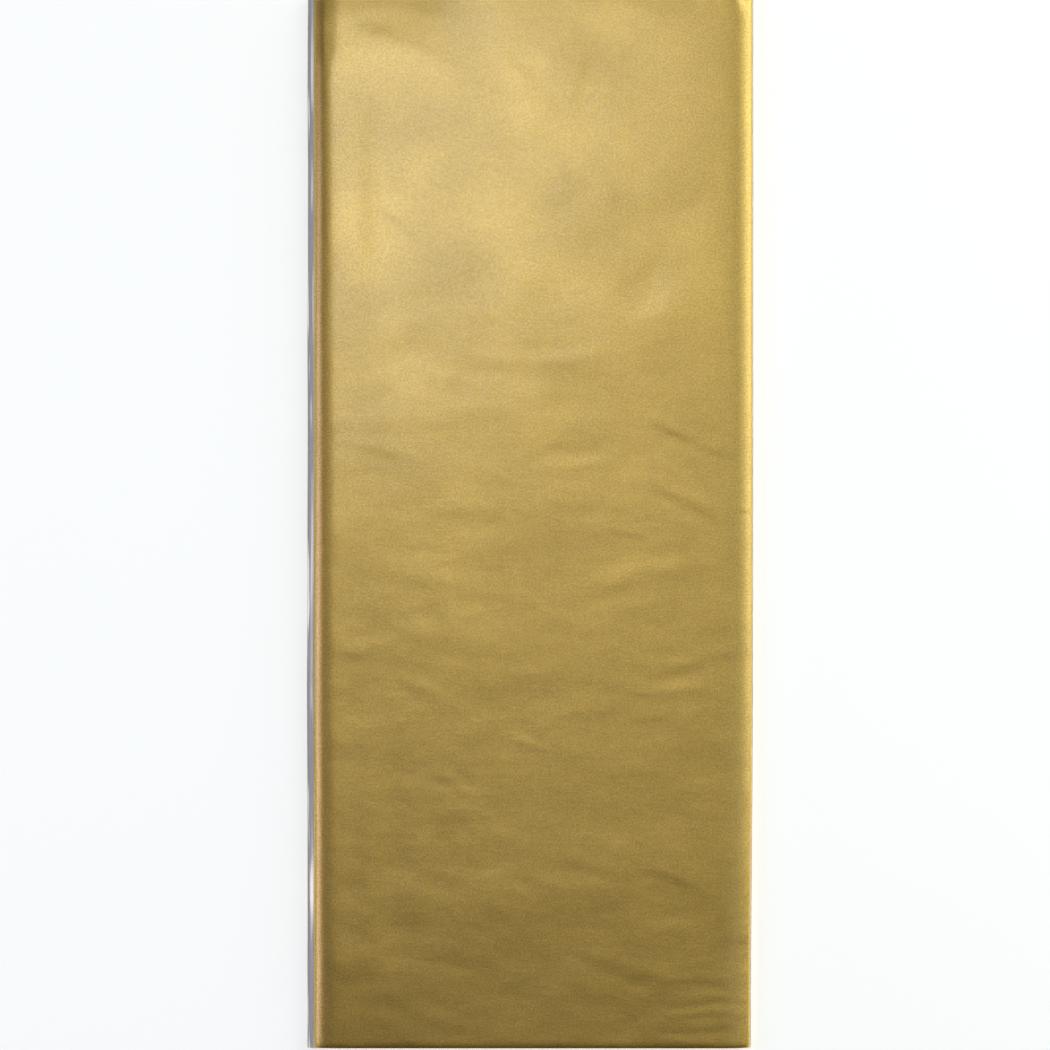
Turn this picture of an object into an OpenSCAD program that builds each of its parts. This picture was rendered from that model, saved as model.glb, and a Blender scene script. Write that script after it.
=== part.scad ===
// Pack of metallic gift tissue: rolled-up sheets in a clear film sleeve.
// The pack lies on its back. +Z comes out of its front, and +Y runs to the sleeve's open mouth.
// The origin is under the middle of the pack, on the surface that it rests on.

/* [Tissue] */
// Width of a flat sheet, which is rolled up into four panels
sheet_w = 508; // [470:1:510]
// Length of a flat sheet, which is halved before it is rolled
sheet_l = 660; // [300:2:760]
// Width of the rolled bundle
bundle_w = 138; // [138:1:150]
// Width of the short innermost panel
inner_panel_w = 101; // [99:1:110]
// Distance from one sheet to the next
pitch = 0.2; // [0.18:0.01:0.24]
// Thickness of one ply of a halved sheet
ply_t = 0.045; // [0.03:0.005:0.05]
// Air between the two plies of a halved sheet
ply_gap = 0.03; // [0.02:0.005:0.04]

/* [Sleeve] */
// Thickness of the clear film
film_t = 0.15; // [0.1:0.01:0.2]
// Air between the bundle and the film, front, back and right
slack = 0.35; // [0.3:0.05:1]
// Air between the bundle and the film on the left
left_slack = 1.6; // [0.6:0.1:5]
// Length that the sleeve stands past the sheets at its mouth
mouth_l = 0.8; // [0.3:0.1:8]
// Thickness of the welded bead along each side
weld_d = 0.3; // [0.25:0.05:0.6]

/* [Lip] */
// Length of the lip that folds behind the mouth
lip_l = 35; // [20:1:60]
// Width of the adhesive strip
glue_w = 6; // [3:0.5:8]
// Width of the release liner over the strip
liner_w = 10; // [9:0.5:14]
// Thickness of the strip, and of the liner
strip_t = 0.1; // [0.08:0.01:0.14]
// Distance from the lip's free edge to the liner
liner_inset = 2; // [1:0.5:4]
// Length of the liner that stands past the strip at each end
liner_over = 1; // [0.5:0.5:3]

/* [Hidden] */
$fn = 48;

SHEETS = 6;
gold = [0.80, 0.68, 0.41];
clear_film = [0.85, 0.88, 0.90, 0.35];

// Heights, from the liner's underside up
lip_z = 2 * strip_t;
fold_gap = 0.1;
crease_r = film_t + fold_gap / 2;
crease_z = lip_z + crease_r;
back_z = crease_z + fold_gap / 2;
cavity_z = back_z + film_t;

// A halved sheet, and the bundle of them
band_t = 2 * ply_t + ply_gap;
end_fold_t = 0.2;
sheet_len = sheet_l / 2;
bundle_z = cavity_z + slack - (pitch - band_t) / 2;
bundle_h = 4 * SHEETS * pitch;
cavity_h = bundle_h - (pitch - band_t) + 2 * slack;

// The sleeve around the bundle
sleeve_w = bundle_w + slack + left_slack + 2 * film_t;
sleeve_h = cavity_h + 2 * film_t;
weld_x = sleeve_w / 2 - film_t + weld_d / 2;
sleeve_len = film_t + slack + sheet_len + mouth_l;
pack_l = sleeve_len + 2 * crease_r;
closed_y = -pack_l / 2;
mouth_y = closed_y + sleeve_len;
crease_y = mouth_y + crease_r;
sheets_y = closed_y + film_t + slack;
bundle_right = sleeve_w / 2 - film_t - slack;
bundle_left = bundle_right - bundle_w;

// Lip, as wide as the flat of the back
lip_w = sleeve_w - sleeve_h;
liner_len = lip_w - 1;
glue_len = liner_len - 2 * liner_over;
liner_y = crease_y - lip_l + liner_inset;

// Levels of the panels in pitches: back, left inner, inmost and front each take SHEETS pitches
outer_turn = 2 * SHEETS - 0.5;
left_turn = 1.5 * SHEETS - 0.5;
inner_turn = SHEETS - 0.5;
right_x = bundle_right - outer_turn * pitch - band_t / 2;
left_x = bundle_left + left_turn * pitch + band_t / 2;
panel_w = right_x - left_x;

// Width of sheet k's back panel: what is left of the sheet after its other panels and its folds
function back_panel_w(k) =
    sheet_w - 2 * panel_w - inner_panel_w
    - PI * pitch * (outer_turn + left_turn + inner_turn - 3 * k);

// A shape drawn in X and Z, drawn out along Y from y0 for a length
module along_y(y0, length) {
    translate([0, y0 + length, 0])
        rotate([90, 0, 0])
            linear_extrude(length) children();
}

// Half of a ring about the origin, on the right for side 1 and on the left for side -1
module half_ring(r, t, side) {
    reach = r + t;
    intersection() {
        difference() {
            circle(r = r + t / 2);
            circle(r = r - t / 2);
        }
        translate([side > 0 ? 0 : -reach, -reach]) square([reach, 2 * reach]);
    }
}

// A flat panel from x0 to x1 about a level
module panel(x0, x1, z, t) {
    translate([x0, z - t / 2]) square([x1 - x0, t]);
}

// Cross-section of rolled sheet k, counted from the outermost, with its free edges longer by extra
module rolled(k, t, extra = 0) {
    back = bundle_z + (k + 0.5) * pitch;
    front = bundle_z + bundle_h - (k + 0.5) * pitch;
    left_inner = back + SHEETS * pitch;
    inmost = front - SHEETS * pitch;
    panel(right_x - back_panel_w(k) - extra, right_x, back, t);
    translate([right_x, (back + front) / 2]) half_ring((outer_turn - k) * pitch, t, 1);
    panel(left_x, right_x, front, t);
    translate([left_x, (front + left_inner) / 2]) half_ring((left_turn - k) * pitch, t, -1);
    panel(left_x, right_x, left_inner, t);
    translate([right_x, (left_inner + inmost) / 2]) half_ring((inner_turn - k) * pitch, t, 1);
    panel(right_x - inner_panel_w - extra, right_x, inmost, t);
}

// One sheet: two plies, joined by the fold across the sheet's middle at the closed end
module tissue_sheet(k) {
    color(gold)
        difference() {
            along_y(sheets_y, sheet_len) rolled(k, band_t);
            along_y(sheets_y + end_fold_t, sheet_len) rolled(k, ply_gap, 1);
        }
}

// Outline of the flattened tube, smaller by inset all round
module tube(inset) {
    r = sleeve_h / 2 - inset;
    centre = (sleeve_w - sleeve_h) / 2;
    translate([0, back_z + sleeve_h / 2]) {
        translate([-centre, -r]) square([2 * centre, 2 * r]);
        for (side = [-1, 1])
            translate([side * centre, 0]) circle(r = r);
    }
}

// The film tube, closed at the bottom and open at the mouth, with a weld standing out along each side
module film_sleeve() {
    color(clear_film) {
        difference() {
            along_y(closed_y, sleeve_len) tube(0);
            along_y(closed_y + film_t, sleeve_len) tube(film_t);
        }
        for (side = [-1, 1])
            along_y(closed_y, sleeve_len)
                translate([side * weld_x, back_z + sleeve_h / 2])
                    circle(d = weld_d);
    }
}

// The back film's extension, folded flat behind the pack about its crease
module sleeve_lip() {
    color(clear_film) {
        translate([-lip_w / 2, crease_y - lip_l, lip_z])
            cube([lip_w, lip_l, film_t]);
        translate([-lip_w / 2, crease_y, crease_z])
            rotate([0, 90, 0])
                cylinder(r = crease_r, h = lip_w);
    }
}

module adhesive_strip() {
    color([0.88, 0.87, 0.80])
        translate([-glue_len / 2, liner_y + (liner_w - glue_w) / 2, strip_t])
            cube([glue_len, glue_w, strip_t]);
}

module release_liner() {
    color("white")
        translate([-liner_len / 2, liner_y, 0])
            cube([liner_len, liner_w, strip_t]);
}

film_sleeve();
sleeve_lip();
adhesive_strip();
release_liner();
tissue_sheet(0);  // tissue_sheet_1
tissue_sheet(1);  // tissue_sheet_2
tissue_sheet(2);  // tissue_sheet_3
tissue_sheet(3);  // tissue_sheet_4
tissue_sheet(4);  // tissue_sheet_5
tissue_sheet(5);  // tissue_sheet_6
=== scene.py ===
"""Pack of metallic gold gift tissue in a clear film sleeve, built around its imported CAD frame.

The pack lies on its back: +Z comes out of its front, and +Y runs to the sleeve's open mouth.
Every piece is first drawn where the CAD has it, and then bent by one shared map, relief(), which
only moves points up or down (and its edges a little sideways), so nested layers stay nested.
"""
import math

import bpy
import numpy as np
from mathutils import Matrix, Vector


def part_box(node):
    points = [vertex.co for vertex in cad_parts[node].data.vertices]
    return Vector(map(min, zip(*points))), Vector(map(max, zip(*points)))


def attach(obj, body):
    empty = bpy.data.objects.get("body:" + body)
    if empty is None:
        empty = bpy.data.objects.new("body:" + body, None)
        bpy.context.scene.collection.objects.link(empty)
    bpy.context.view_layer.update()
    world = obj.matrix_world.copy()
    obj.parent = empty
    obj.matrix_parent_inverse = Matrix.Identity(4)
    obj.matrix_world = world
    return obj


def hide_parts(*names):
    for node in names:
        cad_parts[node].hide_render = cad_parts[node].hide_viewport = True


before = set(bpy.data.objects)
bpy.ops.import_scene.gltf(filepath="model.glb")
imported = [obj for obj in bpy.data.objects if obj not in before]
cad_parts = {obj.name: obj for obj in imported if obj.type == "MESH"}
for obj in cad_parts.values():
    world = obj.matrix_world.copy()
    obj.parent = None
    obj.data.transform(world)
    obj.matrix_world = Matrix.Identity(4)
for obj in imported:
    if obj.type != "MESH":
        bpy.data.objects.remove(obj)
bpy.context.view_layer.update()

MM = 0.001
SHEETS = 6

# ---------------------------------------------------------------- dimensions from the frame

outer_lo, outer_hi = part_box("tissue_sheet_1")
second_lo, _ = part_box("tissue_sheet_2")
sleeve_lo, sleeve_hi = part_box("film_sleeve")
lip_lo, lip_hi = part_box("sleeve_lip")
glue_lo, glue_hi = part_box("adhesive_strip")
liner_lo, liner_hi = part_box("release_liner")

PITCH = second_lo[2] - outer_lo[2]                       # from one sheet to the next
BAND = (outer_hi[2] - outer_lo[2]) - (4 * SHEETS - 1) * PITCH   # a halved sheet's thickness
BUNDLE_Z = outer_lo[2] - (PITCH - BAND) / 2              # bottom of the lowest pitch
BUNDLE_H = 4 * SHEETS * PITCH
LEFT, RIGHT = outer_lo[0], outer_hi[0]                   # sides of the rolled bundle
CLOSED_Y, MOUTH_Y = outer_lo[1], outer_hi[1]             # ends of the bundle
SHEET_W, SHEET_L = 508 * MM, 660 * MM                    # a sheet laid out flat
INNER_PANEL_W = 101 * MM

# Radii of the three folds of the outermost sheet, in pitches, and the folds' axes
OUTER_TURN, LEFT_TURN, INNER_TURN = 2 * SHEETS - 0.5, 1.5 * SHEETS - 0.5, SHEETS - 0.5
RIGHT_AXIS = RIGHT - OUTER_TURN * PITCH - BAND / 2
LEFT_AXIS = LEFT + LEFT_TURN * PITCH + BAND / 2

CREASE_Y, CREASE_Z = lip_hi[1] - (lip_hi[2] - lip_lo[2]) / 2, (lip_hi[2] + lip_lo[2]) / 2
LIP_END_Y = lip_lo[1]

PLY_MID = 0.0375 * MM        # from the middle of a halved sheet to the middle of one ply
PLY_HALF = 0.018 * MM        # half the thickness of a ply
FILM_GAP = 0.10 * MM         # film to tissue

FOLD_ZONE, END_ZONE = 14 * MM, 7 * MM       # by the folds and by the ends, where the paper bends most
FOLD_STEP, END_STEP = 1.2 * MM, 0.9 * MM    # the widest steps of a mesh there
CREASE_GAIN, HIDDEN_GAIN = 1.8, 1.4         # how strongly creases show in front, and in sheets behind

# ---------------------------------------------------------------- smooth fields over the pack


def smooth_step(t):
    t = np.clip(t, 0.0, 1.0)
    return t * t * (3 - 2 * t)


def soft_ramp(distance, width):
    """Zero before zero and distance after it, with a round bend about width wide."""
    return 0.5 * (distance + np.sqrt(distance**2 + width**2))


def bump_noise(x, y, size_x, size_y, seed):
    """Smooth noise about zero, with swells about size_x by size_y metres, by cubic B-splines."""
    cells = 64
    grid = np.random.default_rng(seed).uniform(-1, 1, (cells, cells))
    u, v = x / size_x + 20.37, y / size_y + 20.71
    iu, iv = np.floor(u).astype(int), np.floor(v).astype(int)
    fu, fv = u - iu, v - iv

    def weights(f):
        return ((1 - f) ** 3 / 6, (3 * f**3 - 6 * f**2 + 4) / 6,
                (-3 * f**3 + 3 * f**2 + 3 * f + 1) / 6, f**3 / 6)

    total = np.zeros(np.broadcast(x, y).shape)
    for i, wu in enumerate(weights(fu)):
        for j, wv in enumerate(weights(fv)):
            total += wu * wv * grid[(iu + i) % cells, (iv + j) % cells]
    return total


# Soft creases of the front. Each row: place in mm from the pack's middle, half length and half width
# in mm, direction in degrees, and the slope of its core in thousandths, plus where it faces the mouth
CREASES = [
    # between the mouth and the pack's shoulder
    (-44, 155, 9, 3.0, 0, 12), (-46, 148, 10, 2.2, -8, -18), (-33, 143, 8, 2.2, -38, -14),
    (22, 150, 9, 1.0, -4, 26), (-1, 141, 9, 3.0, -48, 15), (10, 140, 6, 3.5, 0, -16),
    (6, 130, 14, 0.7, 1, 95), (19, 133, 4, 0.8, 35, 80), (-8, 132, 3, 0.8, 0, 60),
    # upper half
    (-42, 94, 12, 2.2, -32, -22), (-28, 78, 6, 1.8, -72, -10), (-36, 79, 5, 3.0, 0, 10),
    (6, 101, 8, 1.6, 8, -12), (45, 100, 9, 2.5, 10, -10), (40, 72, 10, 5.0, 50, 8),
    (-19, 50, 13, 2.0, -6, -18), (9, 47, 12, 2.6, -2, -8), (12, 54, 11, 2.2, 4, 14),
    # middle
    (-49, 22, 9, 1.6, -12, -18), (-50, 16, 9, 0.8, 0, -14), (15, 20, 10, 2.0, 6, 18),
    (8, 25, 8, 1.8, 28, -12), (50, 26, 13, 1.8, -25, -46), (48, 7, 11, 1.9, -28, -42),
    (16, 5, 9, 2.0, -6, -12), (30, -4, 5, 1.3, -10, -18), (-17, 2, 9, 2.4, -8, -12),
    (39, -13, 21, 2.6, 13, 18), (23, -23, 14, 2.0, 10, -12), (-28, -10, 6, 1.0, -4, 14),
    (1, -23, 7, 1.4, -35, 14), (-50, -37, 8, 2.0, 10, 14), (-37, -32, 7, 2.6, -12, 12),
    (-51, -42, 8, 1.8, 6, -14), (-35, -54, 8, 2.0, -14, -14),
    # lower half
    (53, -45, 13, 1.8, 13, -27), (47, -52, 8, 1.7, 4, 22), (34, -54, 12, 0.6, -3, -22),
    (0, -68, 6.5, 1.4, -20, 20), (-22, -81, 5, 1.9, -38, 19), (-14, -84, 6, 1.0, -10, 16),
    (-29, -81, 5, 1.5, 0, -16), (-42, -84, 5, 0.6, -2, -18), (-3, -115, 8, 2.0, -12, 18),
    (-21, -113, 11, 2.2, -4, -16), (43, -112, 8, 1.3, -20, -18), (22, -108, 4, 1.6, 0, 14),
    (47, -125, 9, 2.6, -10, 12), (55, -117, 7, 0.6, -6, -16),
    # crinkles by the closed end's right corner
    (52, -142, 11, 1.1, 2, 22), (52, -145, 10, 1.0, -3, -27), (55, -151, 10, 1.1, 4, -36),
    (52, -153.5, 12, 1.0, 1, 30), (51, -156.5, 12, 0.9, -2, 25), (52, -159.5, 12, 0.9, 2, -30),
    (48, -162, 11, 0.9, 1, 28), (33, -160, 3.5, 2.0, 60, 32), (36, -147, 4, 2.0, 20, 24),
    # a nick in the right edge
    (67.5, 3.6, 2.5, 0.7, 0, -75),
]

# Long shallow streaks that run down the pack, in the same columns: plus where they face the left
STREAKS = [
    (-47, -98, 36, 3.4, 89, -34), (-31, -110, 16, 3.4, 84, -26), (4, -75, 14, 2.4, 96, 12),
    (-51.5, 102, 32, 5.0, 91, -27), (16, 139, 7, 2.6, 75, -10), (-28, -30, 30, 3.4, 118, 7),
]


def crease_height(x, y, rows):
    """Sum of short steps: each is steepest along its own line and fades out to both sides."""
    total = np.zeros(x.shape)
    for cx, cy, half_l, width, angle, slope in rows:
        turned = math.radians(angle)
        dx, dy = x - cx * MM, y - cy * MM
        along = (dx * math.cos(turned) + dy * math.sin(turned)) / (half_l * MM)
        across = (-dx * math.sin(turned) + dy * math.cos(turned)) / (width * MM)
        total -= slope * 0.001 * width * MM * across * np.exp(-0.5 * across**2 - along**4)
    return total


def front_lift(x, y, crease_gain):
    """How far the front face stands above its CAD height."""
    lift = 0.10 * MM * bump_noise(x, y, 46 * MM, 34 * MM, 11)
    lift += 0.10 * MM * bump_noise(x, y, 18 * MM, 12 * MM, 12)
    lift += 0.042 * MM * bump_noise(x, y, 8 * MM, 5 * MM, 13)
    lift += 0.018 * MM * bump_noise(x, y, 4.5 * MM, 2.8 * MM, 14)
    # the paper is slacker towards the closed end
    lift *= 1 + 0.7 * smooth_step((30 * MM - y) / (130 * MM))
    # creases wander a little from their lines
    crooked_x = x + 1.6 * MM * bump_noise(x, y, 9 * MM, 7 * MM, 15)
    crooked_y = y + 1.5 * MM * bump_noise(x, y, 8 * MM, 6 * MM, 16)
    uneven = 0.8 + 0.9 * bump_noise(x, y, 5 * MM, 4 * MM, 17)
    lift += crease_gain * uneven * crease_height(crooked_x, crooked_y, CREASES)
    lift += crease_gain * crease_height(x, y, STREAKS)
    # faint slanting wisps, most of them in the lower half
    wisp = bump_noise(crooked_x * 0.97 - crooked_y * 0.24, crooked_y * 0.97 + crooked_x * 0.24,
                      17 * MM, 5 * MM, 18)
    lift += 0.07 * MM * np.sqrt(wisp**2 + 0.01) * (0.45 + 0.55 * smooth_step((20 * MM - y) / (90 * MM)))
    # the mouth's left part droops from an arched line, and fades out to the right
    past_arch = y - 148.5 * MM + 8 * (x + 48 * MM) ** 2
    lift -= 0.045 * soft_ramp(past_arch, 1.2 * MM) * smooth_step((-8 * MM - x) / (28 * MM))
    # the flattened left fold: a low crest inside it, and the round-off to it
    lift += 0.05 * MM * np.exp(-0.5 * ((x - LEFT - 9.2 * MM) / (2.2 * MM)) ** 2)
    lift -= 0.75 * MM * smooth_step((LEFT + 3.4 * MM - x) / (3.4 * MM))
    # the right edge is pressed to a long soft slope
    lift -= 0.62 * soft_ramp(x - RIGHT + 3.2 * MM, 2.4 * MM)
    # the open corner on the right stands a little off, and the closed end is pressed down
    from_corner = np.hypot(x - RIGHT + 1.5 * MM, y - MOUTH_Y)
    lift -= 0.7 * MM * np.exp(-0.5 * (from_corner / (1.8 * MM)) ** 2)
    lift -= 0.22 * MM * smooth_step((CLOSED_Y + 1.6 * MM - y) / (2.4 * MM))
    lift -= 0.08 * MM * smooth_step((y - MOUTH_Y + 6 * MM) / (8 * MM))
    return lift


def back_lift(x, y):
    """How far the back face stands above its CAD height: never lower, so that it clears the lip."""
    return 0.05 * MM * (1 + bump_noise(x, y, 30 * MM, 22 * MM, 21))


def left_sag(x, y):
    """The left fold sinks where the back panel's free edges end below it, most of all by the mouth."""
    ends = 0.5 * MM * bump_noise(x * 0, y, 1.0, 40 * MM, 31)
    upper = smooth_step((y + 110 * MM) / (200 * MM))
    by_mouth = smooth_step((y - 138 * MM) / (14 * MM))
    reach = LEFT + (6.8 - 0.4 * upper + 2 * by_mouth) * MM + ends
    width = (5.6 - 0.2 * upper + 2.5 * by_mouth) * MM
    return -(0.58 - 0.04 * upper) * MM * smooth_step((reach - x) / width)


def relief(x, y, z, crease_gain=CREASE_GAIN):
    """Moves CAD-placed points to their soft places. It keeps the order of layers at any x and y."""
    g = (z - BUNDLE_Z) / BUNDLE_H
    new_z = z + front_lift(x, y, crease_gain) * g + back_lift(x, y) * (1 - g) + left_sag(x, y)
    edge = 0.22 * MM * bump_noise(x * 0, y, 1.0, 26 * MM, 41)
    near_left = smooth_step((LEFT + 14 * MM - x) / (14 * MM))
    near_right = smooth_step((x - RIGHT + 14 * MM) / (14 * MM))
    # the right folds lean out at their tops, so the face runs down to a sharp edge
    lean = 2.2 * MM * (g - 0.5) * smooth_step((x - RIGHT_AXIS) / (RIGHT - RIGHT_AXIS))
    drawn_in = 0.7 * MM * smooth_step((-40 * MM - y) / (120 * MM))
    new_x = x + edge * near_left + (0.6 * edge - drawn_in) * near_right + lean
    return new_x, y, new_z


# ---------------------------------------------------------------- mesh helpers


def new_piece(name, points, quads, material, uvs=None):
    """A smooth-shaded object from arrays of points, quads and, where given, a flat coordinate each."""
    mesh = bpy.data.meshes.new(name)
    mesh.vertices.add(len(points))
    mesh.vertices.foreach_set("co", np.asarray(points, dtype=np.float32).ravel())
    corner = np.asarray(quads, dtype=np.int32).ravel()
    mesh.loops.add(len(corner))
    mesh.loops.foreach_set("vertex_index", corner)
    mesh.polygons.add(len(quads))
    mesh.polygons.foreach_set("loop_start", np.arange(0, len(corner), 4, dtype=np.int32))
    mesh.polygons.foreach_set("use_smooth", np.ones(len(quads), dtype=bool))
    if uvs is not None:
        layer = mesh.uv_layers.new(name="flat")
        layer.data.foreach_set("uv", np.asarray(uvs, dtype=np.float32)[corner].ravel())
    mesh.update(calc_edges=True)
    mesh.validate()
    mesh.materials.append(material)
    piece = bpy.data.objects.new(name, mesh)
    bpy.context.scene.collection.objects.link(piece)
    return piece


def grid_quads(rows, cols, first=0, flip=False, closed=False):
    """Quads of a grid of rows by cols points, numbered row by row from first."""
    r = np.arange(rows - 1)[:, None]
    c = np.arange(cols if closed else cols - 1)[None, :]
    a = first + r * cols + c
    b = first + r * cols + (c + 1) % cols
    quads = np.stack([a, b, b + cols, a + cols], axis=-1).reshape(-1, 4)
    return quads[:, ::-1] if flip else quads


def rim_quads(rows, cols):
    """Quads that close the border between a grid and its twin, which is numbered right after it."""
    top = np.arange(cols)
    right = np.arange(1, rows) * cols + cols - 1
    bottom = (rows - 1) * cols + np.arange(cols - 2, -1, -1)
    left = np.arange(rows - 2, 0, -1) * cols
    loop = np.concatenate([top, right, bottom, left])
    ahead = np.roll(loop, -1)
    return np.stack([ahead, loop, loop + rows * cols, ahead + rows * cols], axis=-1)


def shell_quads(rows, cols):
    """A thin closed shell: a grid, its twin on the other face, and the rim between them."""
    twin = grid_quads(rows, cols, first=rows * cols)
    return np.concatenate([grid_quads(rows, cols, flip=True), twin, rim_quads(rows, cols)])


# ---------------------------------------------------------------- tissue sheets


def end_spaced(length, step, zone, near_step):
    """Distances from 0 to length: every step, and every near_step within zone of either end."""
    near = np.linspace(0, zone, round(zone / min(step, near_step)), endpoint=False)
    middle = np.linspace(zone, length - zone, round((length - 2 * zone) / step) + 1)
    return np.concatenate([near, middle, (length - near)[::-1]])


def straight(x0, x1, z, step):
    """Points of a flat panel, with the side that ends up outermost as its normal.

    All panels share their columns near the folds, so that none cuts a bend short beside another."""
    lo, hi = min(x0, x1), max(x0, x1)
    shared = LEFT_AXIS + end_spaced(RIGHT_AXIS - LEFT_AXIS, step, FOLD_ZONE, FOLD_STEP)
    x = np.concatenate([[lo], shared[(shared > lo + 0.3 * MM) & (shared < hi - 0.3 * MM)], [hi]])
    if x0 > x1:
        x = x[::-1]
    normal = np.full(len(x), -1.0 if x1 > x0 else 1.0)
    return np.stack([x, np.full(len(x), z), np.zeros(len(x)), normal])


def turn(axis_x, axis_z, radius, start, steps):
    """Points of a half turn, anticlockwise from the start angle, without its two ends."""
    angle = np.radians(start + 180.0 * np.arange(1, steps) / steps)
    nx, nz = np.cos(angle), np.sin(angle)
    return np.stack([axis_x + radius * nx, axis_z + radius * nz, nx, nz])


def rolled_path(k, back_step, front_step, inner_step, turn_steps):
    """Middle line of rolled sheet k, counted from the outermost: x, z, normal x, normal z."""
    back = BUNDLE_Z + (k + 0.5) * PITCH
    front = BUNDLE_Z + BUNDLE_H - (k + 0.5) * PITCH
    left_inner = back + SHEETS * PITCH
    inmost = front - SHEETS * PITCH
    panel_w = RIGHT_AXIS - LEFT_AXIS
    turns = math.pi * PITCH * (OUTER_TURN + LEFT_TURN + INNER_TURN - 3 * k)
    back_w = SHEET_W - 2 * panel_w - INNER_PANEL_W - turns
    return np.concatenate([
        straight(RIGHT_AXIS - back_w, RIGHT_AXIS, back, back_step),
        turn(RIGHT_AXIS, (back + front) / 2, (OUTER_TURN - k) * PITCH, -90, turn_steps),
        straight(RIGHT_AXIS, LEFT_AXIS, front, front_step),
        turn(LEFT_AXIS, (front + left_inner) / 2, (LEFT_TURN - k) * PITCH, 90, turn_steps),
        straight(LEFT_AXIS, RIGHT_AXIS, left_inner, inner_step),
        turn(RIGHT_AXIS, (left_inner + inmost) / 2, (INNER_TURN - k) * PITCH, -90, turn_steps),
        straight(RIGHT_AXIS, RIGHT_AXIS - INNER_PANEL_W, inmost, inner_step),
    ], axis=1)


def halved_rows(outer_step, inner_step):
    """Rows down the outer ply, round the fold across the sheet's middle, and back up the inner ply.

    Each row has its share of the way to the mouth, its side of the halved sheet (1 outer, -1
    inner), its reach past the fold (0 to 1), and its distance along the flat sheet, 0 to 1."""
    length = MOUTH_Y - CLOSED_Y
    up, down = (end_spaced(length, step, END_ZONE, END_STEP) / length for step in (inner_step, outer_step))
    down = down[::-1]
    bend = np.radians([45, 90, 135])
    side = np.concatenate([np.ones(len(down)), np.cos(bend), -np.ones(len(up))])
    reach = np.concatenate([np.zeros(len(down)), np.sin(bend), np.zeros(len(up))])
    mouth_share = np.concatenate([down, np.zeros(3), up])
    flat = np.concatenate([(1 - down) / 2, np.full(3, 0.5), (1 + up) / 2])
    return mouth_share, side, reach, flat


def tissue_sheet(k, material, steps, row_steps, crease_gain):
    """Sheet k, counted from the outermost, halved and rolled: a closed shell as thick as its paper."""
    px, pz, nx, nz = rolled_path(k, *steps)
    along = np.concatenate([[0], np.cumsum(np.hypot(np.diff(px), np.diff(pz)))])
    mouth_share, side, reach, flat = halved_rows(*row_steps)
    rows, cols = len(side), len(px)
    # the ends and the free edges never line up quite from sheet to sheet
    end_slip = 0.2 * MM * bump_noise(px + 0.3 * k, px * 0 + k, 45 * MM, 1.0, 51)
    ply_slip = 0.2 * MM * math.cos(1.1 * k)
    mouth_y = MOUTH_Y + 0.25 * MM + end_slip[None, :] + ply_slip * side[:, None]
    y = CLOSED_Y + (mouth_y - CLOSED_Y) * mouth_share[:, None]
    edge = np.clip(1 - along / (12 * MM), 0, 1) + np.clip(1 - (along[-1] - along) / (12 * MM), 0, 1)
    edge_slip = 0.45 * MM * bump_noise(y, y * 0 + k, 50 * MM, 1.0, 52)
    faces = []
    for thick in (PLY_HALF, -PLY_HALF):
        offset = (PLY_MID + thick) * side[:, None]
        x = px[None, :] + nx[None, :] * offset + edge[None, :] * edge_slip
        z = pz[None, :] + nz[None, :] * offset
        faces.append(np.stack(relief(x, y - (PLY_MID + thick) * reach[:, None], z, crease_gain), axis=-1))
    points = np.concatenate([f.reshape(-1, 3) for f in faces])
    uv = np.stack(np.broadcast_arrays(along[None, :], flat[:, None] * SHEET_L), axis=-1).reshape(-1, 2)
    uv = np.concatenate([uv, uv])
    name = f"gold_tissue_{k + 1}"
    piece = new_piece(name, points, shell_quads(rows, cols), material, uv)
    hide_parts(f"tissue_sheet_{k + 1}")
    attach(piece, f"sheet_{k + 1}")


# ---------------------------------------------------------------- film sleeve

FIN_Z = BUNDLE_Z + 0.46 * BUNDLE_H      # height of the side welds before the bundle sags
FILM_TOP = BUNDLE_Z + BUNDLE_H - (PITCH - BAND) / 2 + FILM_GAP
FILM_BOTTOM = outer_lo[2] - FILM_GAP
LEFT_TIP, RIGHT_TIP = sleeve_lo[0], sleeve_hi[0]
WELD_IN = 0.1 * MM                      # from the sleeve's side to the middle of the weld
THIN = 0.02 * MM                        # half the gap between two films that lie together


def arc(cx, cz, radius, start, stop, count):
    a = np.linspace(start, stop, count)
    return np.stack([cx + radius * np.cos(a), cz + radius * np.sin(a)])


def line(x0, z0, x1, z1, count):
    t = np.linspace(0, 1, count)
    return np.stack([x0 + (x1 - x0) * t, z0 + (z1 - z0) * t])


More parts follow.
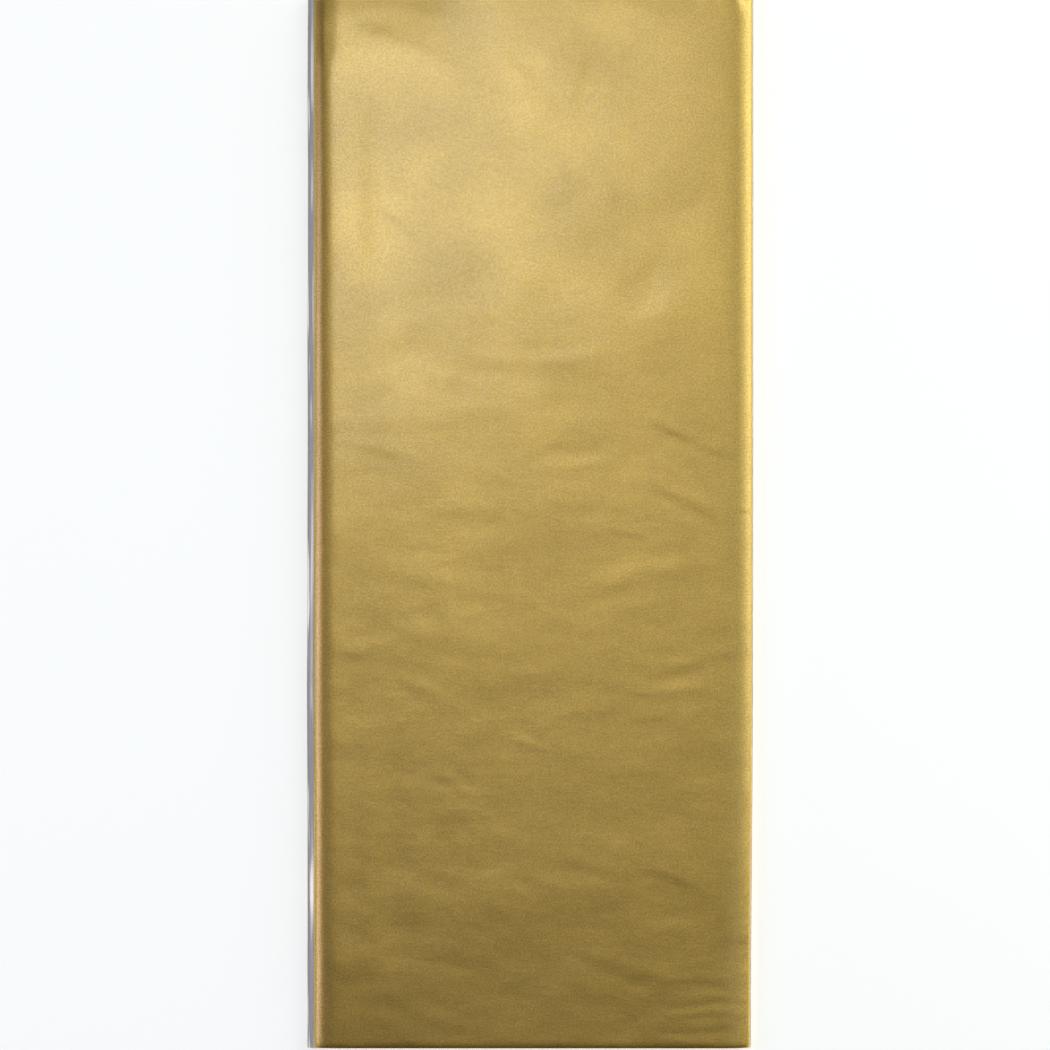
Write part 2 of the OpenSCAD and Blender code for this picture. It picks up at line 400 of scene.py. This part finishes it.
def film_loop():
    """Cross-section of the filled sleeve: from the left weld over the top, and back underneath."""
    right_r, right_z = (FILM_TOP - FILM_BOTTOM) / 2, (FILM_TOP + FILM_BOTTOM) / 2
    left_r = LEFT_TURN * PITCH + BAND / 2 + FILM_GAP
    left_z = FILM_TOP - left_r
    root_x = LEFT_TIP + 0.55 * MM
    # the top film leaves the left fold where a line from the weld's root touches it
    dx, dz = root_x - LEFT_AXIS, FIN_Z - left_z
    touch = math.atan2(dz, dx) % (2 * math.pi) - math.acos(min(1.0, left_r / math.hypot(dx, dz)))
    touch_x, touch_z = LEFT_AXIS + left_r * math.cos(touch), left_z + left_r * math.sin(touch)
    under_x = LEFT + 4.5 * MM
    parts = [
        line(LEFT_TIP + WELD_IN, FIN_Z + THIN, root_x, FIN_Z + THIN, 3),
        line(root_x, FIN_Z + THIN, touch_x, touch_z, 8)[:, 1:],
        arc(LEFT_AXIS, left_z, left_r, touch, math.pi / 2, 8)[:, 1:],
        line(LEFT_AXIS, FILM_TOP, RIGHT_AXIS, FILM_TOP, 91)[:, 1:],
        arc(RIGHT_AXIS, right_z, right_r, math.pi / 2, math.radians(6), 11)[:, 1:],
        line(RIGHT_TIP - WELD_IN, right_z + THIN, RIGHT_TIP - WELD_IN, right_z - THIN, 2),
        arc(RIGHT_AXIS, right_z, right_r, math.radians(-6), -math.pi / 2, 11),
        line(RIGHT_AXIS, FILM_BOTTOM, under_x, FILM_BOTTOM, 61)[:, 1:],
        line(under_x, FILM_BOTTOM, root_x, FIN_Z - THIN, 8)[:, 1:],
        line(root_x, FIN_Z - THIN, LEFT_TIP + WELD_IN, FIN_Z - THIN, 3)[:, 1:],
    ]
    return np.concatenate(parts, axis=1)


def film_crinkle(x, y, z):
    """The loose film past the bundle's left side buckles in long shallow waves."""
    loose = smooth_step((LEFT + 1.2 * MM - x) / (1.6 * MM))
    wave = 0.42 * MM * bump_noise(x, y, 3 * MM, 30 * MM, 61)
    wave += 0.12 * MM * bump_noise(x, y, 2 * MM, 10 * MM, 62)
    tip = 0.16 * MM * bump_noise(x * 0, y, 1.0, 13 * MM, 63) * loose
    return x + tip, y, z + wave * loose


def film_place(x, y, z):
    """Where a CAD-placed point of the film ends up: its underside lies on the table or on the lip."""
    under = np.clip((FIN_Z - z) / (FIN_Z - FILM_BOTTOM), 0, 1)
    off_lip = smooth_step((LIP_END_Y - 3 * MM - y) / (14 * MM))
    x, y, z = film_crinkle(x, y, z)
    x, y, z = relief(x, y, z)
    rest_z = 0.52 * MM - off_lip * (0.44 * MM - 0.10 * MM * (1 + bump_noise(x, y, 16 * MM, 11 * MM, 64)))
    z = np.maximum(z - under * (FILM_BOTTOM - rest_z), rest_z)
    return x, y, z


def film_sleeve(material):
    lx, lz = film_loop()
    start, stop = CLOSED_Y - 0.25 * MM, sleeve_hi[1]
    bend = np.radians([90, 82, 70, 54, 36, 18])
    y = np.concatenate([np.full(len(bend), start), np.linspace(start, stop, 221)])
    keep = np.concatenate([np.cos(bend), np.ones(len(y) - len(bend))])[:, None]
    past = np.concatenate([np.sin(bend), np.zeros(len(y) - len(bend))])[:, None]
    rows, cols = len(y), len(lx)
    x, y, z = film_place(*np.broadcast_arrays(lx[None, :], y[:, None], lz[None, :]))
    # past the bundle's closed end the two films come together, and the corners draw in
    fold_z = 1.9 * MM
    z = fold_z + (z - fold_z) * keep
    corner = smooth_step((np.abs(x) - 66 * MM) / (4 * MM))
    y = y - 0.55 * MM * past * (1 - corner)
    x = x - np.sign(x) * 1.3 * MM * past * corner
    points = np.stack([x, y, z], axis=-1).reshape(-1, 3)
    around = np.concatenate([[0], np.cumsum(np.hypot(np.diff(lx), np.diff(lz)))])
    from_weld = np.minimum(around, around[-1] - around)
    uv = np.stack(np.broadcast_arrays(from_weld[None, :], y), axis=-1).reshape(-1, 2)
    piece = new_piece("clear_sleeve", points, grid_quads(rows, cols, closed=True), material, uv)
    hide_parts("film_sleeve")
    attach(piece, "sleeve")


def side_weld(name, tip_x, mid_z, material):
    """The melted edge of the film: a thin uneven bead along the sleeve's side."""
    y = np.linspace(CLOSED_Y + 0.6 * MM, sleeve_hi[1] - 0.1 * MM, 260)
    x, y, z = film_place(np.full(len(y), tip_x - math.copysign(WELD_IN, tip_x)), y, np.full(len(y), mid_z))
    radius = 0.085 * MM * (1 + 0.35 * bump_noise(y * 0, y, 1.0, 2.5 * MM, 71))[:, None]
    angle = 2 * math.pi * np.arange(6) / 6
    ring = np.stack(np.broadcast_arrays(x[:, None] + radius * np.cos(angle), y[:, None],
                                        z[:, None] + radius * np.sin(angle)), axis=-1)
    last = (len(y) - 1) * 6
    caps = np.array([[0, 1, 2, 3], [0, 3, 4, 5], [3, 2, 1, 0], [5, 4, 3, 0]])
    caps[2:] += last
    quads = np.concatenate([grid_quads(len(y), 6, closed=True), caps])
    piece = new_piece(name, ring.reshape(-1, 3), quads, material)
    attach(piece, "sleeve")


# ---------------------------------------------------------------- lip, adhesive and liner


def film_lip(material):
    """The back film's extension, which turns round its crease and lies under the pack."""
    radius = 0.125 * MM
    bend = np.radians(np.linspace(90, -90, 9))
    flat_y = np.linspace(CREASE_Y, LIP_END_Y, 48)[1:]
    y = np.concatenate([CREASE_Y + radius * np.cos(bend), flat_y])[:, None]
    z = np.concatenate([CREASE_Z + radius * np.sin(bend), np.full(len(flat_y), CREASE_Z - radius)])
    z = z[:, None]
    x = np.linspace(lip_lo[0], lip_hi[0], 131)[None, :]
    x, y, z = np.broadcast_arrays(x, y, z)
    along = np.concatenate([[0], np.cumsum(np.hypot(np.diff(y[:, 0]), np.diff(z[:, 0])))])
    # clear of the coordinates by the weld, where the film's material paints a grey shade
    from_side = x - lip_lo[0] + 10 * MM
    uv = np.stack(np.broadcast_arrays(from_side, along[:, None]), axis=-1).reshape(-1, 2)
    z = z + 0.045 * MM * bump_noise(x, y, 14 * MM, 9 * MM, 81) * smooth_step((CREASE_Y - y) / (6 * MM))
    # the free edge's corners are cut round
    corner = smooth_step((np.abs(x) - lip_hi[0] + 2 * MM) / (2 * MM))
    corner = corner * smooth_step((LIP_END_Y + 2 * MM - y) / (2 * MM))
    points = np.stack([x - np.sign(x) * 0.8 * MM * corner, y + 0.8 * MM * corner, z], axis=-1)
    piece = new_piece("clear_lip", points.reshape(-1, 3), grid_quads(*x.shape), material, uv)
    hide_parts("sleeve_lip")
    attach(piece, "lip")


def thin_strip(name, lo, hi, round_r, material):
    """A thin strip with rounded corners and soft edges."""
    half = np.array([hi[0] - lo[0], hi[1] - lo[1]]) / 2
    u, v = np.meshgrid(np.sin(np.linspace(-1, 1, 181) * math.pi / 2), np.linspace(-1, 1, 21))
    p = np.stack([u, v], axis=-1) * half
    past = np.abs(p) - (half - round_r)
    far = np.hypot(past[..., 0], past[..., 1])[..., None]
    in_corner = ((past > 0).all(axis=-1, keepdims=True)) & (far > round_r)
    drawn_in = np.sign(p) * (half - round_r + past * round_r / np.maximum(far, 1e-9))
    p = np.where(in_corner, drawn_in, p) + half + np.array([lo[0], lo[1]])
    x, y = p[..., 0], p[..., 1]
    soft = 0.18 * (hi[2] - lo[2]) * (0.4 + np.maximum(np.abs(u) ** 60, np.abs(v) ** 10))
    sides = [np.stack([x, y, z], axis=-1).reshape(-1, 3) for z in (hi[2] - soft, lo[2] + soft)]
    flat = np.concatenate([p.reshape(-1, 2)] * 2)
    return new_piece(name, np.concatenate(sides), shell_quads(*u.shape)[:, ::-1], material, flat)


# ---------------------------------------------------------------- materials


class Nodes:
    """Short calls to add and link the nodes of one material."""

    def __init__(self, name):
        self.material = bpy.data.materials.new(name)
        self.material.use_nodes = True
        self.tree = self.material.node_tree
        self.tree.nodes.clear()
        self.out = self.tree.nodes.new("ShaderNodeOutputMaterial")

    def add(self, kind, settings=None, **inputs):
        """Adds a node. inputs are values or other nodes' sockets, by socket name or number."""
        node = self.tree.nodes.new("ShaderNode" + kind)
        for key, value in (settings or {}).items():
            setattr(node, key, value)
        for key, value in inputs.items():
            socket = node.inputs[int(key[1:]) if key[0] == "_" else key.replace("_", " ")]
            if isinstance(value, bpy.types.NodeSocket):
                self.tree.links.new(value, socket)
            else:
                socket.default_value = value
        return node

    def flat(self):
        """The piece's own flat coordinates, in metres."""
        return self.add("UVMap", {"uv_map": "flat"}).outputs["UV"]

    def scaled(self, vector, scale):
        return self.add("VectorMath", {"operation": "MULTIPLY"}, _0=vector, _1=scale).outputs[0]

    def noise(self, vector, scale, detail=3.0, roughness=0.5):
        node = self.add("TexNoise", Vector=vector, Scale=scale, Detail=detail, Roughness=roughness)
        return node.outputs["Fac"]

    def spread(self, value, low, high, to_low, to_high):
        """Maps low..high to to_low..to_high, clamped."""
        node = self.add("MapRange", {"clamp": True}, Value=value, From_Min=low, From_Max=high)
        node.inputs["To Min"].default_value = to_low
        node.inputs["To Max"].default_value = to_high
        return node.outputs[0]

    def mixed(self, fac, a, b):
        """Colour a to colour b by fac."""
        return self.add("Mix", {"data_type": "RGBA"}, Factor=fac, _6=a, _7=b).outputs[2]

    def bumped(self, height, distance, strength=1.0, normal=None):
        more = {"Normal": normal} if normal is not None else {}
        node = self.add("Bump", Height=height, Distance=distance, Strength=strength, **more)
        return node.outputs[0]

    def shown(self, shader):
        self.tree.links.new(shader, self.out.inputs["Surface"])
        return self.material


def gold_tissue_material():
    """Paper with a thin metallic gold print: satin, faintly mottled, with broad-band paper grain."""
    m = Nodes("gold_tissue_paper")
    flat = m.flat()
    cloud = m.noise(flat, 38, detail=2)
    grain = m.noise(m.scaled(flat, (0.85, 1, 1)), 1900, detail=2, roughness=0.8)
    mottle = m.noise(flat, 330, detail=3, roughness=0.7)
    cockle = m.noise(m.scaled(flat, (85, 130, 1)), 1.0, detail=4, roughness=0.6)
    fibre = m.noise(m.scaled(flat, (170, 900, 1)), 1.0, detail=3, roughness=0.6)
    speck = m.add("Math", {"operation": "MULTIPLY_ADD"}, _0=mottle, _1=0.2, _2=grain).outputs[0]
    tone = m.mixed(m.spread(speck, 0.44, 0.76, 0, 1), (0.66, 0.416, 0.106, 1), (0.98, 0.643, 0.168, 1))
    rough = m.spread(cloud, 0.3, 0.7, 0.38, 0.44)
    normal = m.bumped(cockle, 0.00015, 0.8)
    normal = m.bumped(fibre, 0.00003, 0.6, normal)
    normal = m.bumped(grain, 0.00003, 1.0, normal)
    shader = m.add("BsdfPrincipled", Base_Color=tone, Metallic=0.96, Roughness=rough, Normal=normal)
    return m.shown(shader.outputs[0])


def clear_film_material():
    """Thin clear plastic: what lies behind shows through, and both faces shine a little. By the left weld
    it carries a painted grey shade.
    """
    m = Nodes("clear_polypropylene_film")
    flat = m.flat()
    ripple = m.noise(m.scaled(flat, (70, 46, 1)), 1.0, detail=3, roughness=0.5)
    scuff = m.noise(flat, 700, detail=3, roughness=0.6)
    normal = m.bumped(ripple, 0.00012, 0.35)
    rough = m.spread(scuff, 0.35, 0.7, 0.16, 0.24)
    gloss = m.add("BsdfGlossy", Color=(1, 1, 1, 1), Roughness=rough, Normal=normal)
    # both faces of so thin a film reflect alike, so the index is turned over on the back
    inside = m.add("NewGeometry").outputs["Backfacing"]
    fresnel = m.add("Fresnel", IOR=m.spread(inside, 0, 1, 1.5, 1 / 1.5), Normal=normal).outputs[0]
    # painted shade: by the left weld the film is tinted grey for the shadow and dim reflections there, and
    # noise leaves clear gaps in it that stand in for glints
    from_weld = m.add("SeparateXYZ", Vector=flat).outputs[0]
    shade_break_noise = m.noise(m.scaled(flat, (900, 22, 1)), 1.0, detail=2, roughness=0.4)
    painted_weld_shade = m.spread(from_weld, 0.0022, 0.0031, 1, 0)
    unbroken_shade = m.spread(shade_break_noise, 0.56, 0.62, 1, 0)
    painted_weld_shade = m.add("Math", {"operation": "MULTIPLY"}, _0=painted_weld_shade, _1=unbroken_shade).outputs[0]
    tint = m.mixed(painted_weld_shade, (0.985, 0.985, 0.98, 1), (0.56, 0.57, 0.585, 1))
    clear = m.add("BsdfTransparent", Color=tint)
    return m.shown(m.add("MixShader", _0=fresnel, _1=clear.outputs[0], _2=gloss.outputs[0]).outputs[0])


def weld_material():
    """Film melted to a bead: cloudy, and pearly white where it is thick."""
    m = Nodes("welded_film_edge")
    place = m.add("TexCoord").outputs["Object"]
    cloudy = m.spread(m.noise(place, 420, detail=3), 0.35, 0.65, 0.35, 0.75)
    normal = m.bumped(m.noise(place, 900, detail=2), 0.00003, 0.6)
    shader = m.add("BsdfPrincipled", Base_Color=(0.78, 0.78, 0.77, 1), IOR=1.5, Normal=normal,
                   Roughness=m.spread(cloudy, 0, 1, 0.18, 0.4))
    clear = m.add("BsdfTransparent", Color=(0.9, 0.9, 0.9, 1))
    return m.shown(m.add("MixShader", _0=cloudy, _1=clear.outputs[0], _2=shader.outputs[0]).outputs[0])


def adhesive_material():
    """Clear pressure-sensitive glue, a little milky and full of tiny strings."""
    m = Nodes("clear_adhesive")
    flat = m.flat()
    strings = m.noise(m.scaled(flat, (900, 160, 1)), 1.0, detail=3, roughness=0.6)
    milky = m.spread(strings, 0.35, 0.7, 0.18, 0.42)
    shader = m.add("BsdfPrincipled", Base_Color=(0.88, 0.86, 0.78, 1), IOR=1.48,
                   Roughness=m.spread(strings, 0.3, 0.7, 0.08, 0.22),
                   Normal=m.bumped(strings, 0.00003, 0.5))
    clear = m.add("BsdfTransparent", Color=(0.98, 0.975, 0.95, 1))
    return m.shown(m.add("MixShader", _0=milky, _1=clear.outputs[0], _2=shader.outputs[0]).outputs[0])


def liner_material():
    """Siliconised release paper: smooth white, see-through enough to glow, with a waxy sheen."""
    m = Nodes("release_paper")
    flat = m.flat()
    cloud = m.noise(flat, 260, detail=5, roughness=0.65)
    fibre = m.noise(m.scaled(flat, (500, 1600, 1)), 1.0, detail=3, roughness=0.6)
    tone = m.mixed(m.spread(cloud, 0.35, 0.65, 0, 1), (0.84, 0.83, 0.80, 1), (0.92, 0.915, 0.89, 1))
    shader = m.add("BsdfPrincipled", Base_Color=tone, IOR=1.45, Normal=m.bumped(fibre, 0.00001, 0.5),
                   Roughness=m.spread(cloud, 0.3, 0.7, 0.3, 0.42))
    # so thin that light from below comes through it
    shader.inputs["Subsurface Weight"].default_value = 1.0
    shader.inputs["Subsurface Radius"].default_value = (1, 1, 1)
    shader.inputs["Subsurface Scale"].default_value = 0.0006
    return m.shown(shader.outputs[0])


# ---------------------------------------------------------------- the pack

gold = gold_tissue_material()
film = clear_film_material()
weld = weld_material()

# Steps between columns on the back, front and inner panels, parts of each turn, and steps between
# rows on the outer and inner ply: fine for the outermost sheet, which is the one seen
tissue_sheet(0, gold, (5 * MM, 1.0 * MM, 5 * MM, 10), (0.85 * MM, 5.5 * MM), CREASE_GAIN)
for k in range(1, SHEETS):
    tissue_sheet(k, gold, (5 * MM, 2.5 * MM, 5 * MM, 8), (3 * MM, 6 * MM), HIDDEN_GAIN)

film_sleeve(film)
side_weld("left_weld", LEFT_TIP, FIN_Z, weld)
side_weld("right_weld", RIGHT_TIP, (FILM_TOP + FILM_BOTTOM) / 2, weld)
film_lip(film)

glue = thin_strip("glue_strip", glue_lo, glue_hi, 0.6 * MM, adhesive_material())
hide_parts("adhesive_strip")
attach(glue, "lip")

backing = thin_strip("backing_strip", liner_lo, liner_hi, 1.0 * MM, liner_material())
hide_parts("release_liner")
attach(backing, "liner")

# ---------------------------------------------------------------- floor, lights and camera


def floor_material():
    m = Nodes("studio_white")
    place = m.add("TexCoord").outputs["Object"]
    tone = m.mixed(m.noise(place, 3, detail=2), (0.90, 0.90, 0.90, 1), (0.93, 0.93, 0.93, 1))
    shader = m.add("BsdfPrincipled", Base_Color=tone, Roughness=0.7, Emission_Color=(1, 1, 1, 1),
                   Emission_Strength=0.6)
    return m.shown(shader.outputs[0])


def area_light(name, place, target, size, watts, color=(1, 1, 1), size_y=None):
    """A soft light that faces target: round, or a panel where size_y is given."""
    data = bpy.data.lights.new(name, "AREA")
    data.shape, data.size, data.energy, data.color = "DISK", size, watts, color
    if size_y is not None:
        data.shape, data.size_y = "RECTANGLE", size_y
    lamp = bpy.data.objects.new(name, data)
    lamp.location = place
    lamp.rotation_euler = (Vector(target) - Vector(place)).to_track_quat("-Z", "Y").to_euler()
    bpy.context.scene.collection.objects.link(lamp)


floor_mesh = bpy.data.meshes.new("floor")
floor_mesh.from_pydata([(-3, -3, 0), (3, -3, 0), (3, 3, 0), (-3, 3, 0)], [], [(0, 1, 2, 3)])
floor_mesh.materials.append(floor_material())
floor = bpy.data.objects.new("floor", floor_mesh)
floor.location.z = -0.02 * MM
bpy.context.scene.collection.objects.link(floor)

area_light("key", (-0.14, 0.27, 1.4), (-0.03, 0.1, 0), 0.42, 1.80, (0.94, 1.0, 0.95))
area_light("fill", (-0.07, -0.04, 1.4), (-0.03, -0.03, 0), 0.44, 0.16, (1.0, 0.98, 0.92))
area_light("high_right", (0.60, 0.18, 1.20), (0, 0, 0), 1.2, 2.1, (0.92, 1.0, 0.88), size_y=1.0)
area_light("side_right", (1.0, 0.44, 0.45), (0, 0.1, 0.1), 1.2, 6.4, (0.9, 1.0, 0.88), size_y=0.85)
area_light("side_left", (-0.90, -0.12, 0.60), (0, 0, 0), 0.65, 1.75, (0.93, 0.95, 1.3), size_y=0.5)

# the studio's pale walls: brightest at the horizon and dim overhead
world = bpy.data.worlds.new("studio")
world.use_nodes = True
sky = world.node_tree.nodes
height = sky.new("ShaderNodeSeparateXYZ")
fade = sky.new("ShaderNodeMapRange")
for socket, value in zip(("From Min", "From Max", "To Min", "To Max"), (0.0, 0.26, 0.55, 0.025)):
    fade.inputs[socket].default_value = value
world.node_tree.links.new(sky.new("ShaderNodeTexCoord").outputs["Generated"], height.inputs[0])
world.node_tree.links.new(height.outputs["Z"], fade.inputs["Value"])
world.node_tree.links.new(fade.outputs[0], sky["Background"].inputs["Strength"])
sky["Background"].inputs["Color"].default_value = (1, 1, 1, 1)
bpy.context.scene.world = world

camera_data = bpy.data.cameras.new("camera")
CAMERA_H, FRAME_W = 1.4, 0.3302
camera_data.sensor_width = 36
camera_data.lens = 36 * (CAMERA_H - outer_hi[2]) / FRAME_W
camera = bpy.data.objects.new("camera", camera_data)
camera.location = (-0.0017, -0.0008, CAMERA_H)
bpy.context.scene.collection.objects.link(camera)
bpy.context.scene.camera = camera
bpy.context.scene.view_settings.view_transform = "Standard"
